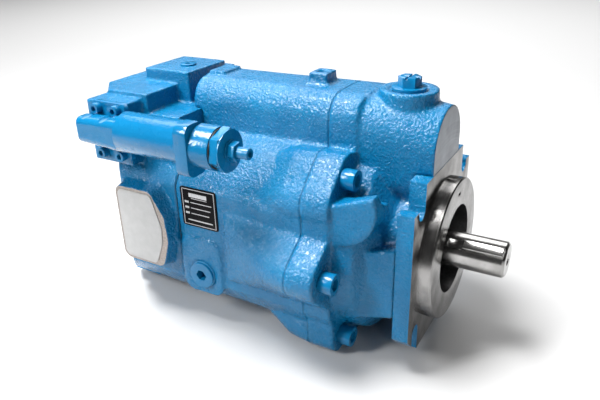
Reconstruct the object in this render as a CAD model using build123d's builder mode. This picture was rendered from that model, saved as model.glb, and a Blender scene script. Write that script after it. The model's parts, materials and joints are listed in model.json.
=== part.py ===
"""Variable-displacement axial piston pump with a pressure compensator.

Frame: +X runs along the drive shaft, out of the drive end. +Z is up.
The origin is on the shaft axis at the mounting face of the drive flange.
All sizes are in millimetres.
"""

import os
from math import cos, pi, radians, sin

from build123d import *

os.makedirs("parts", exist_ok=True)

# ---------------------------------------------------------------- driving dimensions
# drive end
PILOT_R = 63.5
PILOT_LENGTH = 12.7
BOLT_HALF = 57.25  # half of the 114.5 mm square of flange bolts
SLOT_R = 7.15
FLANGE_T = 14.0
FLANGE_HALF_Y = 75.0
FLANGE_TOP = 78.5
EAR_TOP = 60.0
EAR_CHAMFER = 22.0
RECESS_R = 40.0
RECESS_FLOOR = -3.0
SHAFT_R = 15.875
SHAFT_END = 58.7
KEY_WIDTH = 7.94
KEY_FROM = 23.0
KEY_TO = 57.2
KEY_TILT = 45.0  # degrees from straight up, towards -Y
COLLAR_R = 19.5

# housing stations along the shaft
BOLT_FACE_X = -65.0
FRONT_SEAM_X = -90.0
REAR_SEAM_X = -226.0
GASKET_T = 0.5
BLOCK_REAR_X = -330.0
BODY_R = 98.0
SIDE_Y = 86.0
BELLY_Z = -92.0
RIDGE_TOP = 135.0
RIDGE_HALF = 37.0
LOBE_Z = 93.0
LOBE_R = 34.5
LOBE_FACE_X = -0.25

# housing bolts, M12, three on each side
M12_R = 6.0
HOUSING_BOLTS = [(63.0, 76.0), (103.0, 1.0), (67.0, -74.0)]

# rotating group
PISTON_COUNT = 9
PITCH_R = 34.0
PISTON_R = 10.0
BLOCK_R = 48.0
BLOCK_REAR = -220.0
BLOCK_FRONT = -140.0
BORE_FLOOR = -192.0
SWASH_X = -104.0
BALL_X = -113.0
BALL_R = 6.5
SPLINE_TEETH = 12
YOKE_CHAMBER_R = 72.0
CASE_CHAMBER_R = 74.0
ARM_POCKET_HALF = 17.0
GASKET_INSET = 0.4
RUNNING = 0.04  # radial clearance of running fits

# yoke hinge
HINGE_X = -76.0
HINGE_Z = 54.0
YOKE_PIN_R = 7.5
CONTROL_Z = 93.0

# turned details in the housings
SEAL_R = 30.0
SEAL_REAR = -12.0
RING_REAR = -5.0
RING_T = 1.5
RING_GROOVE = 1.5
FRONT_CUP_R = 36.0
FRONT_CUP_END = -14.0
REAR_CUP_R = 22.0
REAR_CUP_END = -258.0
PIN_WALL_Y = 47.5
PIN_END_Y = 65.0
BUSHING_R = 10.5
EAR_POCKET_TOP = 67.0
ARM_POCKET_TOP = 110.0
CONTROL_R = 11.0
CONTROL_MOUTH = -101.0
CONTROL_END = -166.0
BIAS_R = 12.0
BIAS_MOUTH = -58.0
BIAS_END = -16.0
DRAIN_X = -36.0
DRAIN_TOP = 139.0
DRAIN_R = 8.0
DRAIN_BOSS_R = 25.0
DRAIN_SPOT_R = 18.0
DRAIN_SPOT_DEPTH = 2.5
LUG_TOP = 146.0
LIFT_X = -116.5
LIFT_HOLE_R = 4.0
PAD_PROUD = 2.5
SIDE_PLUG_X = -201.0
SIDE_PLUG_Z = -38.4
SIDE_PLUG_R = 10.0
HOUSING_BOLT_TIP = -108.0
M12_HEAD_R = 9.0
HEAD_ROOM_R = 12.0
UPPER_HEAD_ROOM_R = 14.0
M6_R = 3.0

# valve block: ports are four-bolt split-flange pads, 2 inch suction and 1 inch pressure
BLOCK_BOLTS = [(62.0, 62.0), (62.0, -64.0)]
BLOCK_BOLT_TIP = -206.0
BLOCK_BELLY_Z = -84.0
BLOCK_BOLT_HEAD_X = -262.0
LEDGE_Z = 108.0
TURRET_TOP = 138.0
PORT_X = -262.0
PORT_FACE_Y = 100.0
SUCTION_R = 25.4
SUCTION_BOLT_X = 42.9
SUCTION_BOLT_Z = 77.8
SUCTION_BOLT_R = 5.1
PRESSURE_R = 12.7
PRESSURE_Z = 3.0
PRESSURE_BOLT_X = 26.2
PRESSURE_BOLT_Z = 52.4
PRESSURE_BOLT_R = 4.25
GAUGE_X = -267.0
GAUGE_R = 5.0

# compensator valve
COMP_PORT_X = -283.0
COMP_Y = -110.0
COMP_Z = 103.5
COMP_R = 18.0
COMP_MOUNT_Y = -92.0
COMP_SCREWS = [(x, z) for x in (-294.5, -271.7) for z in (74.5, 116.8)]


# ---------------------------------------------------------------- helpers
def along_x(x, y=0.0, z=0.0):
    """A plane at station x that faces +X."""
    return Plane(origin=(x, y, z), x_dir=(0, 1, 0), z_dir=(1, 0, 0))


def bar_x(x_from, x_to, radius, y=0.0, z=0.0, mode=Mode.ADD):
    """A round bar or bore along X."""
    with Locations(along_x(x_from, y, z)):
        Cylinder(radius, x_to - x_from, align=(Align.CENTER, Align.CENTER, Align.MIN), mode=mode)


def cone_x(x_from, x_to, radius_from, radius_to, y=0.0, z=0.0, mode=Mode.ADD):
    """A round taper along X."""
    with Locations(along_x(x_from, y, z)):
        Cone(
            radius_from,
            radius_to,
            x_to - x_from,
            align=(Align.CENTER, Align.CENTER, Align.MIN),
            mode=mode,
        )


def bar_y(y_from, y_to, radius, x, z, mode=Mode.ADD):
    """A round bar or bore along Y."""
    with Locations(Plane(origin=(x, y_from, z), x_dir=(1, 0, 0), z_dir=(0, 1, 0))):
        Cylinder(radius, y_to - y_from, align=(Align.CENTER, Align.CENTER, Align.MIN), mode=mode)


def bar_z(z_from, z_to, radius, x, y=0.0, mode=Mode.ADD):
    """A round bar or bore along Z."""
    with Locations((x, y, z_from)):
        Cylinder(radius, z_to - z_from, align=(Align.CENTER, Align.CENTER, Align.MIN), mode=mode)


def block(x_range, y_range, z_range, mode=Mode.ADD):
    """A square-cornered block between two corners."""
    with Locations((x_range[0], y_range[0], z_range[0])):
        Box(
            x_range[1] - x_range[0],
            y_range[1] - y_range[0],
            z_range[1] - z_range[0],
            align=(Align.MIN, Align.MIN, Align.MIN),
            mode=mode,
        )


def slab_x(outline, x_from, x_to, mode=Mode.ADD):
    """A flat outline, drawn in (y, z), made solid between two stations along X."""
    extrude(along_x(x_from) * outline, amount=x_to - x_from, mode=mode)


def hex_prism(plane, across_flats, height, turn=0.0, mode=Mode.ADD):
    """A hexagonal prism standing on a plane."""
    with BuildSketch(plane) as outline:
        RegularPolygon(across_flats / 2, 6, major_radius=False, rotation=turn)
    extrude(outline.sketch, amount=height, mode=mode)


def socket_screw(plane, shank_r, shank_length, head_r, head_height):
    """A socket head cap screw whose head stands on the plane and whose shank goes into it."""
    with Locations(plane):
        Cylinder(head_r, head_height, align=(Align.CENTER, Align.CENTER, Align.MIN))
        Cylinder(shank_r, shank_length, align=(Align.CENTER, Align.CENTER, Align.MAX))
    socket_depth = head_height * 0.55
    hex_prism(plane.offset(head_height - socket_depth), shank_r * 1.65, socket_depth, mode=Mode.SUBTRACT)


def finish(builder, name):
    """Label a finished piece and write it."""
    builder.part.label = name
    export_step(builder.part, f"parts/{name}.step")
    print(name, round(builder.part.volume), len(builder.part.solids()))


def turned(outline, y=0.0, z=0.0):
    """A half outline, drawn in (x, radius), turned round an axis along X."""
    profile_plane = Plane(origin=(0, y, z), x_dir=(1, 0, 0), z_dir=(0, -1, 0))
    revolve(profile_plane * outline, axis=Axis((0, y, z), (1, 0, 0)))


def rounded_box_outline(y, z, width, height, corner):
    """A rectangle with rounded corners, drawn in (y, z)."""
    with BuildSketch() as outline:
        with Locations((y, z)):
            RectangleRounded(width, height, corner)
    return outline.sketch


def ring(name, x_from, x_to, outer_r, inner_r, y=0.0, z=0.0):
    """A plain turned ring along X."""
    with BuildPart() as turned:
        bar_x(x_from, x_to, outer_r, y, z)
        bar_x(x_from, x_to, inner_r, y, z, mode=Mode.SUBTRACT)
    finish(turned, name)


def compression_spring(name, x_from, x_to, coil_r, wire_r, turns, y=0.0, z=0.0):
    """A round-wire helical spring along X between two stations."""
    height = x_to - x_from - 2 * wire_r
    with BuildPart() as spring:
        coil_plane = along_x(x_from + wire_r, y, z)
        path = coil_plane.from_local_coords(Helix(height / turns, height, coil_r, mode=Mode.PRIVATE))
        section_plane = Plane(origin=path @ 0, z_dir=path % 0)
        with BuildSketch(section_plane) as wire_section:
            Circle(wire_r)
        sweep(wire_section.sketch, path=path, is_frenet=True)
    finish(spring, name)


def roller_set(name, x_from, x_to, pitch_r, roller_r, count):
    """Loose cylindrical rollers evenly spaced round the shaft."""
    with BuildPart() as rollers:
        for index in range(count):
            turn = 2 * pi * index / count
            bar_x(x_from, x_to, roller_r, pitch_r * cos(turn), pitch_r * sin(turn))
    finish(rollers, name)


def both_sides(points):
    """The same points on both sides of the middle plane."""
    return [(side * y, z) for side in (-1, 1) for y, z in points]


# ---------------------------------------------------------------- housing outlines, drawn in (y, z)
def body_outline(body_r, side_y, ridge_half, ridge_top):
    """Round body with flat sides and belly, and the raised ridge on top."""
    with BuildSketch() as outline:
        Circle(body_r)
        with Locations((0, (BELLY_Z + body_r) / 2)):
            Rectangle(2 * side_y, body_r - BELLY_Z, mode=Mode.INTERSECT)
        with Locations((0, ridge_top / 2)):
            RectangleRounded(2 * ridge_half, ridge_top, 22)
    return outline.sketch


def side_boss(side, y_out):
    """Outline of the middle bolt boss, with the straight slope on its underside."""
    with BuildSketch() as rounds:
        with Locations((side * y_out, 1)):
            Circle(19)
        with Locations((side * 86, -31)):
            Circle(6)
        with Locations((side * 84, 26)):
            Circle(8)
    with BuildSketch() as outline:
        make_hull(rounds.sketch.edges())
    return outline.sketch


def bolt_outline(inset=0.0):
    """Body outline at the bolted joint, with the bosses round the housing bolts."""
    with BuildSketch() as outline:
        add(body_outline(101, 91, 40, RIDGE_TOP))
        for side in (-1, 1):
            with Locations((side * 62, 64)):
                SlotCenterToCenter(27, 42, rotation=-side * 42)
            add(side_boss(side, 103))
            with Locations((side * 67, -74)):
                Circle(17)
            with Locations((side * 58, -62)):
                Circle(27)
        if inset:
            offset(amount=-inset)
    return outline.sketch


# ---------------------------------------------------------------- front housing
def drive_flange_outline():
    """Square drive flange: middle block, lower ears with the corners cut, and four open slots."""
    with BuildSketch() as outline:
        Rectangle(100, 2 * FLANGE_TOP)
        with Locations((0, (EAR_TOP - FLANGE_TOP) / 2)):
            Rectangle(2 * FLANGE_HALF_Y, EAR_TOP + FLANGE_TOP)
        chamfer(outline.vertices().filter_by_position(Axis.Y, -80, -70), EAR_CHAMFER)
        for side in (-1, 1):
            for level in (-1, 1):
                with Locations((side * BOLT_HALF, level * (BOLT_HALF + 20))):
                    Rectangle(2 * SLOT_R, 40, mode=Mode.SUBTRACT)
                with Locations((side * BOLT_HALF, level * BOLT_HALF)):
                    Circle(SLOT_R, mode=Mode.SUBTRACT)
    return outline.sketch


def ridge_outline(half, top, corner):
    """The raised ridge over the body, down to where it sinks into it."""
    with BuildSketch() as outline:
        with Locations((0, (40 + top) / 2)):
            RectangleRounded(2 * half, top - 40, corner)
    return outline.sketch


def side_profile(outline, y_from, y_to, mode=Mode.ADD):
    """An outline drawn in (x, z), made solid between two heights along Y."""
    face_plane = Plane(origin=(0, y_to, 0), x_dir=(1, 0, 0), z_dir=(0, -1, 0))
    extrude(face_plane * outline, amount=y_to - y_from, mode=mode)


def web_outline():
    """Side web between the drive flange and the body, drawn in (x, z)."""
    with BuildSketch() as outline:
        Polygon((-10, 28), (-52, 18), (-80, 6), (-80, -54), (-58, -50), (-44, -45), (-10, -36), align=None)
    return outline.sketch


def arm_pocket(x_from, x_to, z_from):
    """Room for the yoke's arm, cut between two stations."""
    block((x_from, x_to), (-ARM_POCKET_HALF, ARM_POCKET_HALF), (z_from, ARM_POCKET_TOP), mode=Mode.SUBTRACT)


def yoke_chamber(radius):
    """Section of the yoke chamber: round, with a solid corner on each side round the yoke pins."""
    with BuildSketch() as outline:
        Circle(radius)
        for side in (-1, 1):
            with Locations((side * (PIN_WALL_Y + 20), 36 + 30)):
                Rectangle(40, 60, mode=Mode.SUBTRACT)
        with Locations((0, 36 + (EAR_POCKET_TOP - 36) / 2)):
            Rectangle(2 * PIN_WALL_Y, EAR_POCKET_TOP - 36)
    return outline.sketch


def head_pocket_outline():
    """Clearance over the upper housing bolts, drawn in (x, z): a ledge that rises to the front."""
    with BuildSketch() as outline:
        Polygon((BOLT_FACE_X, 62), (-25, 77), (-25, 115), (BOLT_FACE_X, 115), align=None)
    return outline.sketch


PIN_BOSS_X = -61.0
PIN_BOSS_Z = 62.0
PIN_BOSS_R = 35.0
PIN_BOSS_Y = 88.0
WEB_Y = 75.0
NECK_R = 62.0

with BuildPart() as front_housing:
    # round bosses over the yoke pins, open above for the bolt heads, and the webs to the flange
    for y_from, y_to in ((-PIN_BOSS_Y, -60), (60, PIN_BOSS_Y)):
        bar_y(y_from, y_to, PIN_BOSS_R, PIN_BOSS_X, PIN_BOSS_Z)
    for y_from, y_to in ((-PIN_BOSS_Y - 2, -49), (49, PIN_BOSS_Y + 2)):
        side_profile(head_pocket_outline(), y_from, y_to, mode=Mode.SUBTRACT)
    for y_from, y_to in ((-WEB_Y, -45), (45, WEB_Y)):
        side_profile(web_outline(), y_from, y_to)
    block((BOLT_FACE_X - 40, BOLT_FACE_X), (-120, 120), (-120, 120), mode=Mode.SUBTRACT)
    slab_x(bolt_outline(), FRONT_SEAM_X, BOLT_FACE_X)
    # drum, shoulder and neck behind the drive flange
    cone_x(BOLT_FACE_X, -47, 90.5, 87)
    cone_x(-47, -28, 87, NECK_R)
    bar_x(-28, -FLANGE_T, NECK_R)
    # ridge that narrows to the round lobe above the flange
    ridge_ends = [
        (FRONT_SEAM_X, 40, RIDGE_TOP, 22),
        (-30, 37, 130, 30),
        (LOBE_FACE_X, LOBE_R, LOBE_Z + LOBE_R, LOBE_R - 0.1),
    ]
    loft([along_x(x) * ridge_outline(half, top, corner) for x, half, top, corner in ridge_ends], ruled=True)
    bar_z(100, DRAIN_TOP, DRAIN_BOSS_R, DRAIN_X)
    slab_x(drive_flange_outline(), -FLANGE_T, 0)
    bar_x(0, PILOT_LENGTH, PILOT_R)
    chamfer(front_housing.edges().filter_by(GeomType.CIRCLE).sort_by(Axis.X)[-1], 1)
    # clear the slots behind the flange for bolt heads and a spanner
    for side in (-1, 1):
        bar_x(-FLANGE_T - 12, -FLANGE_T, 13, side * BOLT_HALF, BOLT_HALF, mode=Mode.SUBTRACT)
        bar_x(-FLANGE_T - 12, -FLANGE_T, 13, side * BOLT_HALF, -BOLT_HALF, mode=Mode.SUBTRACT)
    # recess round the shaft, seal bore with the ring groove, bearing bore
    bar_x(RECESS_FLOOR, PILOT_LENGTH, RECESS_R, mode=Mode.SUBTRACT)
    bar_x(SEAL_REAR, RECESS_FLOOR, SEAL_R, mode=Mode.SUBTRACT)
    bar_x(RING_REAR, RING_REAR + RING_T, SEAL_R + RING_GROOVE, mode=Mode.SUBTRACT)
    bar_x(FRONT_CUP_END, SEAL_REAR, 24, mode=Mode.SUBTRACT)
    bar_x(-44, FRONT_CUP_END, FRONT_CUP_R, mode=Mode.SUBTRACT)
    # yoke chamber, pocket for the yoke's arm, bias piston bore
    slab_x(yoke_chamber(YOKE_CHAMBER_R), FRONT_SEAM_X, -62, mode=Mode.SUBTRACT)
    bar_x(-62, -44, 64, mode=Mode.SUBTRACT)
    arm_pocket(FRONT_SEAM_X, BIAS_MOUTH, 40)
    bar_x(BIAS_MOUTH, BIAS_END, BIAS_R + RUNNING, z=CONTROL_Z, mode=Mode.SUBTRACT)
    for y_from, y_to in ((-PIN_END_Y, -PIN_WALL_Y), (PIN_WALL_Y, PIN_END_Y)):
        bar_y(y_from, y_to, BUSHING_R, HINGE_X, HINGE_Z, mode=Mode.SUBTRACT)
    # drain port down to the yoke chamber
    bar_z(DRAIN_TOP - DRAIN_SPOT_DEPTH, DRAIN_TOP, DRAIN_SPOT_R, DRAIN_X, mode=Mode.SUBTRACT)
    bar_z(108, DRAIN_TOP, DRAIN_R, DRAIN_X, mode=Mode.SUBTRACT)
    bar_x(BIAS_MOUTH - 2, DRAIN_X, 3.5, z=ARM_POCKET_TOP + 1, mode=Mode.SUBTRACT)
    # housing bolt holes, with room for the heads
    for y, z in both_sides(HOUSING_BOLTS):
        bar_x(FRONT_SEAM_X, BOLT_FACE_X, M12_R + 0.5, y, z, mode=Mode.SUBTRACT)
        head_room = UPPER_HEAD_ROOM_R if z > 60 else HEAD_ROOM_R
        bar_x(BOLT_FACE_X, -22, head_room, y, z, mode=Mode.SUBTRACT)
    # small slot in the face of the pilot, and a weep hole beside the flange
    block((PILOT_LENGTH - 3, PILOT_LENGTH), (-1.5, 4.5), (50.2, 53.2), mode=Mode.SUBTRACT)
    bar_z(52, PILOT_R, 1.6, 2.2, 1.5, mode=Mode.SUBTRACT)
finish(front_housing, "front_housing")


# ---------------------------------------------------------------- centre housing
def bolt_one_boss(side, slide, radius):
    """Outline of the long boss round the upper housing bolt, slid in towards the shaft as it fades."""
    with BuildSketch() as outline:
        with Locations((side * (62 - slide), 64 - slide)):
            SlotCenterToCenter(27, 2 * radius, rotation=-side * 42)
    return outline.sketch


def round_boss(side, y, z, radius):
    """Outline of a round boss."""
    with BuildSketch() as outline:
        with Locations((side * y, z)):
            Circle(radius)
    return outline.sketch


def overhang_outline():
    """The ridge's end that hangs over the valve block's ledge."""
    with BuildSketch() as outline:
        add(ridge_outline(RIDGE_HALF, RIDGE_TOP, 22))
        with Locations((0, LEDGE_Z + 0.3 + 50)):
            Rectangle(200, 100, mode=Mode.INTERSECT)
    return outline.sketch


CENTRE_FRONT = FRONT_SEAM_X - GASKET_T
CENTRE_REAR = REAR_SEAM_X + GASKET_T
OVERHANG_REAR = -233.0
PLAIN_FROM = -170.0  # the section is constant behind this station

with BuildPart() as centre_housing:
    slab_x(body_outline(BODY_R, SIDE_Y, RIDGE_HALF, RIDGE_TOP), CENTRE_REAR, PLAIN_FROM)
    loft(
        [
            along_x(PLAIN_FROM) * body_outline(BODY_R, SIDE_Y, RIDGE_HALF, RIDGE_TOP),
            along_x(CENTRE_FRONT) * body_outline(101, 91, 40, RIDGE_TOP),
        ],
        ruled=True,
    )
    # bolt bosses that sink into the body towards the rear
    for side in (-1, 1):
        loft(
            [
                along_x(-162) * bolt_one_boss(side, 16, 21),
                along_x(-112) * bolt_one_boss(side, 2.5, 21),
                along_x(CENTRE_FRONT) * bolt_one_boss(side, 0, 21),
            ],
            ruled=True,
        )
        loft([along_x(-170) * side_boss(side, 66), along_x(-112) * side_boss(side, 99)], ruled=True)
        loft([along_x(-112) * side_boss(side, 99), along_x(CENTRE_FRONT) * side_boss(side, 103)], ruled=True)
        loft(
            [
                along_x(-150) * round_boss(side, 52, -58, 17),
                along_x(-112) * round_boss(side, 65, -72, 17),
                along_x(CENTRE_FRONT) * round_boss(side, 67, -74, 17),
            ],
            ruled=True,
        )
    # lifting lug, rear bump and the pad round the side plug
    block((-127, -105), (-12, 12), (128, 137))
    block((-125, -107.5), (-10, 10), (130, LUG_TOP))
    block((OVERHANG_REAR + 2, -213), (-14, 14), (128, 139))
    slab_x(overhang_outline(), OVERHANG_REAR, CENTRE_REAR)
    with BuildSketch(Plane(origin=(0, -SIDE_Y, 0), x_dir=(1, 0, 0), z_dir=(0, -1, 0))) as pad_outline:
        with Locations(((CENTRE_REAR - 178) / 2, -30)):
            RectangleRounded(CENTRE_REAR * -1 - 178, 60, 12)
    extrude(amount=PAD_PROUD, taper=20)
    # case chamber
    bar_x(CENTRE_REAR, CENTRE_FRONT, CASE_CHAMBER_R, mode=Mode.SUBTRACT)
    # pocket for the yoke's arm, control piston bore and its feed
    arm_pocket(CONTROL_MOUTH, CENTRE_FRONT, 60)
    bar_x(CONTROL_END, CONTROL_MOUTH, CONTROL_R + RUNNING, z=CONTROL_Z, mode=Mode.SUBTRACT)
    bar_x(CENTRE_REAR, CONTROL_END, 3, z=CONTROL_Z, mode=Mode.SUBTRACT)
    # tapped holes
    for y, z in both_sides(HOUSING_BOLTS):
        bar_x(HOUSING_BOLT_TIP - 2, CENTRE_FRONT, M12_R, y, z, mode=Mode.SUBTRACT)
    for y, z in both_sides(BLOCK_BOLTS):
        bar_x(CENTRE_REAR, BLOCK_BOLT_TIP + 2, M12_R, y, z, mode=Mode.SUBTRACT)
    bar_z(LUG_TOP - 16, LUG_TOP, LIFT_HOLE_R, LIFT_X, mode=Mode.SUBTRACT)
    bar_y(-SIDE_Y - PAD_PROUD, -56, SIDE_PLUG_R, SIDE_PLUG_X, SIDE_PLUG_Z, mode=Mode.SUBTRACT)
    bar_y(-SIDE_Y - PAD_PROUD, -SIDE_Y - 1, 15.5, SIDE_PLUG_X, SIDE_PLUG_Z, mode=Mode.SUBTRACT)
finish(centre_housing, "centre_housing")


# ---------------------------------------------------------------- gaskets
with BuildPart() as front_gasket:
    slab_x(bolt_outline(inset=GASKET_INSET), CENTRE_FRONT, FRONT_SEAM_X)
    bar_x(CENTRE_FRONT, FRONT_SEAM_X, CASE_CHAMBER_R, mode=Mode.SUBTRACT)
    arm_pocket(CENTRE_FRONT, FRONT_SEAM_X, 60)
    for y, z in both_sides(HOUSING_BOLTS):
        bar_x(CENTRE_FRONT, FRONT_SEAM_X, M12_R, y, z, mode=Mode.SUBTRACT)
finish(front_gasket, "front_gasket")

with BuildPart() as rear_gasket:
    rear_outline = body_outline(
        BODY_R - GASKET_INSET, SIDE_Y - GASKET_INSET, RIDGE_HALF - GASKET_INSET, LEDGE_Z - GASKET_INSET
    )
    slab_x(rear_outline, REAR_SEAM_X, CENTRE_REAR)
    bar_x(REAR_SEAM_X, CENTRE_REAR, CASE_CHAMBER_R, mode=Mode.SUBTRACT)
    bar_x(REAR_SEAM_X, CENTRE_REAR, 3, z=CONTROL_Z, mode=Mode.SUBTRACT)
    for y, z in both_sides(BLOCK_BOLTS):
        bar_x(REAR_SEAM_X, CENTRE_REAR, M12_R, y, z, mode=Mode.SUBTRACT)
finish(rear_gasket, "rear_gasket")


# ---------------------------------------------------------------- valve block
def block_section():
    """Section of the valve block, drawn in (y, z): round, clipped flat, with a square shoulder on top."""
    with BuildSketch() as outline:
        Circle(BODY_R)
        with Locations((0, (BODY_R + BLOCK_BELLY_Z) / 2)):
            Rectangle(2 * SIDE_Y, BODY_R - BLOCK_BELLY_Z, mode=Mode.INTERSECT)
        with Locations((0, LEDGE_Z / 2)):
            Rectangle(2 * 74, LEDGE_Z)
        fillet(outline.vertices().filter_by_position(Axis.Y, LEDGE_Z - 1, LEDGE_Z + 1), 8)
    return outline.sketch


def kidney(side, inner_r, outer_r, half_angle, x_from, x_to, mode):
    """A kidney slot round the shaft, centred on +Y (side 1) or -Y (side -1)."""
    with BuildSketch() as slot:
        with Locations((0, 0)):
            Circle(outer_r)
            Circle(inner_r, mode=Mode.SUBTRACT)
            reach = 2 * outer_r
            Polygon(
                (0, 0),
                (side * reach * cos(half_angle), reach * sin(half_angle)),
                (side * reach * cos(half_angle), -reach * sin(half_angle)),
                align=None,
                mode=Mode.INTERSECT,
            )
    slab_x(slot.sketch, x_from, x_to, mode)


with BuildPart() as valve_block:
    slab_x(block_section(), BLOCK_REAR_X, REAR_SEAM_X)
    block((BLOCK_REAR_X, -261), (-70, 70), (90, 125.5))
    # the rear corners slope in towards the middle
    with BuildSketch() as plan:
        Polygon(
            (REAR_SEAM_X, -SIDE_Y),
            (-294, -SIDE_Y),
            (BLOCK_REAR_X, -48),
            (BLOCK_REAR_X, 48),
            (-294, SIDE_Y),
            (REAR_SEAM_X, SIDE_Y),
            align=None,
        )
    extrude(amount=150, both=True, mode=Mode.INTERSECT)
    block((-300, -246), (-27, 33), (100, TURRET_TOP))
    block((-316, -268), (COMP_MOUNT_Y, -60), (62, 121))
    # pressure port pad on -Y, suction port pad on +Y
    with BuildSketch(Plane(origin=(0, -PORT_FACE_Y, 0), x_dir=(1, 0, 0), z_dir=(0, 1, 0))) as pressure_pad:
        Polygon((-288, -43), (-245, -43), (-231, -20), (-229, 5), (-238, 34), (-288, 34), align=None)
        fillet(pressure_pad.vertices(), 8)
    extrude(amount=PORT_FACE_Y - SIDE_Y + 6, taper=-14)
    with BuildSketch(Plane(origin=(0, PORT_FACE_Y, 0), x_dir=(1, 0, 0), z_dir=(0, -1, 0))) as suction_pad:
        with Locations((PORT_X, 0)):
            RectangleRounded(66, 104, 16)
    extrude(amount=PORT_FACE_Y - SIDE_Y + 6, taper=-4)
    block((REAR_SEAM_X, REAR_SEAM_X + 30), (-130, 130), (-130, 150), mode=Mode.SUBTRACT)
    # rear bearing bore, and the two port channels from the kidneys
    bar_x(REAR_CUP_END - 2, REAR_SEAM_X, REAR_CUP_R, mode=Mode.SUBTRACT)
    kidney(1, 29, 39, radians(50), PORT_X, REAR_SEAM_X, Mode.SUBTRACT)
    kidney(-1, 29, 39, radians(50), PORT_X, REAR_SEAM_X, Mode.SUBTRACT)
    bar_y(30, PORT_FACE_Y, SUCTION_R, PORT_X, 0, mode=Mode.SUBTRACT)
    bar_y(-PORT_FACE_Y, -30, PRESSURE_R, PORT_X, PRESSURE_Z, mode=Mode.SUBTRACT)
    for x in (PORT_X - SUCTION_BOLT_X / 2, PORT_X + SUCTION_BOLT_X / 2):
        for z in (-SUCTION_BOLT_Z / 2, SUCTION_BOLT_Z / 2):
            bar_y(PORT_FACE_Y - 24, PORT_FACE_Y, SUCTION_BOLT_R, x, z, mode=Mode.SUBTRACT)
    for x in (PORT_X - PRESSURE_BOLT_X / 2, PORT_X + PRESSURE_BOLT_X / 2):
        for z in (PRESSURE_Z - PRESSURE_BOLT_Z / 2, PRESSURE_Z + PRESSURE_BOLT_Z / 2):
            bar_y(-PORT_FACE_Y, -PORT_FACE_Y + 20, PRESSURE_BOLT_R, x, z, mode=Mode.SUBTRACT)
    # bolts to the centre housing, with deep counterbores from the rear
    for y, z in both_sides(BLOCK_BOLTS):
        bar_x(BLOCK_BOLT_HEAD_X, REAR_SEAM_X, M12_R + 0.5, y, z, mode=Mode.SUBTRACT)
        bar_x(BLOCK_REAR_X - 5, BLOCK_BOLT_HEAD_X, M12_HEAD_R + 1, y, z, mode=Mode.SUBTRACT)
    # control feed, gauge port and the compensator's screw and pressure holes
    bar_x(-280, REAR_SEAM_X, 3, z=CONTROL_Z, mode=Mode.SUBTRACT)
    bar_y(COMP_MOUNT_Y, 0, 2.5, COMP_PORT_X, CONTROL_Z, mode=Mode.SUBTRACT)
    bar_z(TURRET_TOP - 16, TURRET_TOP, GAUGE_R, GAUGE_X, mode=Mode.SUBTRACT)
    for x, z in COMP_SCREWS:
        bar_y(COMP_MOUNT_Y, COMP_MOUNT_Y + 14, M6_R, x, z, mode=Mode.SUBTRACT)
finish(valve_block, "valve_block")


# ---------------------------------------------------------------- fasteners, plugs and trim
with BuildPart() as housing_bolts:
    for y, z in both_sides(HOUSING_BOLTS):
        socket_screw(along_x(BOLT_FACE_X, y, z), M12_R, BOLT_FACE_X - HOUSING_BOLT_TIP, M12_HEAD_R, 12)
finish(housing_bolts, "housing_bolts")

with BuildPart() as valve_block_bolts:
    for y, z in both_sides(BLOCK_BOLTS):
        head_plane = Plane(origin=(BLOCK_BOLT_HEAD_X, y, z), x_dir=(0, 1, 0), z_dir=(-1, 0, 0))
        socket_screw(head_plane, M12_R, BLOCK_BOLT_TIP - BLOCK_BOLT_HEAD_X, M12_HEAD_R, 12)
finish(valve_block_bolts, "valve_block_bolts")

SEAL_T = 1.5
DRAIN_SEAT = DRAIN_TOP - DRAIN_SPOT_DEPTH
DRAIN_FLANGE_R = 14.7
DRAIN_FLANGE_T = 2.0
DRAIN_HEX = 17.0
DRAIN_HEX_HEIGHT = 8.5
CROSS_SLOT = 2.0
with BuildPart() as drain_plug_seal:
    bar_z(DRAIN_SEAT, DRAIN_SEAT + SEAL_T, 13.0, DRAIN_X)
    bar_z(DRAIN_SEAT, DRAIN_SEAT + SEAL_T, DRAIN_R, DRAIN_X, mode=Mode.SUBTRACT)
finish(drain_plug_seal, "drain_plug_seal")

with BuildPart() as drain_plug:
    flange_seat = DRAIN_SEAT + SEAL_T
    hex_seat = flange_seat + DRAIN_FLANGE_T
    hex_top = hex_seat + DRAIN_HEX_HEIGHT
    bar_z(flange_seat - 14, flange_seat, DRAIN_R, DRAIN_X)
    bar_z(flange_seat, hex_seat, DRAIN_FLANGE_R, DRAIN_X)
    hex_plane = Plane(origin=(DRAIN_X, 0, hex_seat))
    hex_prism(hex_plane, DRAIN_HEX, DRAIN_HEX_HEIGHT, turn=15)
    # cross slot in the head
    for half_x, half_y in ((DRAIN_HEX, CROSS_SLOT / 2), (CROSS_SLOT / 2, DRAIN_HEX)):
        slot_x = (DRAIN_X - half_x, DRAIN_X + half_x)
        block(slot_x, (-half_y, half_y), (hex_top - 1.6, hex_top), mode=Mode.SUBTRACT)
finish(drain_plug, "drain_plug")

SIDE_PLUG_SEAT = -SIDE_Y - 1
with BuildPart() as side_plug_seal:
    bar_y(SIDE_PLUG_SEAT - SEAL_T, SIDE_PLUG_SEAT, 13.5, SIDE_PLUG_X, SIDE_PLUG_Z)
    bar_y(SIDE_PLUG_SEAT - SEAL_T, SIDE_PLUG_SEAT, SIDE_PLUG_R, SIDE_PLUG_X, SIDE_PLUG_Z, mode=Mode.SUBTRACT)
finish(side_plug_seal, "side_plug_seal")

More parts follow.
